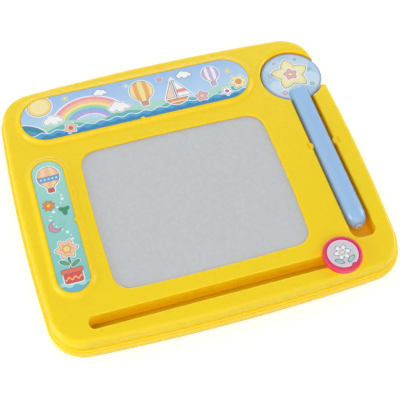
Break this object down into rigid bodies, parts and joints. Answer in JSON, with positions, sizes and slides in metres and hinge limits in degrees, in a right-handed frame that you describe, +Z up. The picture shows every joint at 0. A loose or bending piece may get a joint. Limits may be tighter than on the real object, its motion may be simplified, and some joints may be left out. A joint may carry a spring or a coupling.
{
  "type": "magnetic drawing board",
  "caption": "Children's magnetic drawing board: two-shell plastic case, honeycomb screen, sliding eraser knob, and a magnet pen that lifts out of its groove.",
  "frame": {"origin": "under the middle of the case, on the surface that the board lies on", "axes": "+X along the long side, towards the pen; +Y across the face, towards the far edge with the long label; +Z up out of the face"},
  "size_m": [0.24, 0.2124, 0.0228],
  "materials": {
    "case_plastic": "moulded, semi-gloss",
    "screw_steel": "zinc plated",
    "screen_film": "smooth clear film",
    "cell_sheet": "translucent cells of white fluid",
    "backing_film": "satin",
    "rail_plastic": "moulded, satin",
    "top_print": "printed film label, semi-gloss",
    "side_print": "printed film label, semi-gloss",
    "disc_print": "printed film label, semi-gloss",
    "knob_print": "printed film label, semi-gloss",
    "magnet_rubber": "matt",
    "bar_plastic": "moulded, satin",
    "knob_plastic": "moulded, glossy",
    "pen_plastic": "moulded, semi-gloss",
    "nib_plastic": "moulded, satin",
    "pen_magnet": "plated magnet"
  },
  "bodies": {
    "case": {"front_frame": "case_plastic", "back_cover": "case_plastic", "case_screw_1": "screw_steel", "case_screw_2": "screw_steel", "case_screw_3": "screw_steel", "case_screw_4": "screw_steel", "case_screw_5": "screw_steel", "case_screw_6": "screw_steel", "case_screw_7": "screw_steel", "case_screw_8": "screw_steel", "screen_front_film": "screen_film", "screen_cell_sheet": "cell_sheet", "screen_back_film": "backing_film", "near_rail": "rail_plastic", "far_rail": "rail_plastic", "rail_screw_1": "screw_steel", "rail_screw_2": "screw_steel", "rail_screw_3": "screw_steel", "rail_screw_4": "screw_steel", "top_label": "top_print", "side_label": "side_print"},
    "eraser": {"eraser_bar": "bar_plastic", "eraser_magnet": "magnet_rubber", "eraser_knob": "knob_plastic", "knob_label": "knob_print", "knob_screw": "screw_steel"},
    "pen": {"pen_front_shell": "pen_plastic", "pen_back_shell": "pen_plastic", "pen_head_label": "disc_print", "pen_nib": "nib_plastic", "pen_magnet": "pen_magnet"}
  },
  "joints": [
    {"name": "eraser_slide", "type": "slide", "parent": "case", "child": "eraser", "axis": [-1, 0, 0], "range_m": [0, 0.161]},
    {"name": "pen_lift", "type": "slide", "parent": "case", "child": "pen", "axis": [0, 0, 1], "range_m": [0, 0.04]}
  ]
}
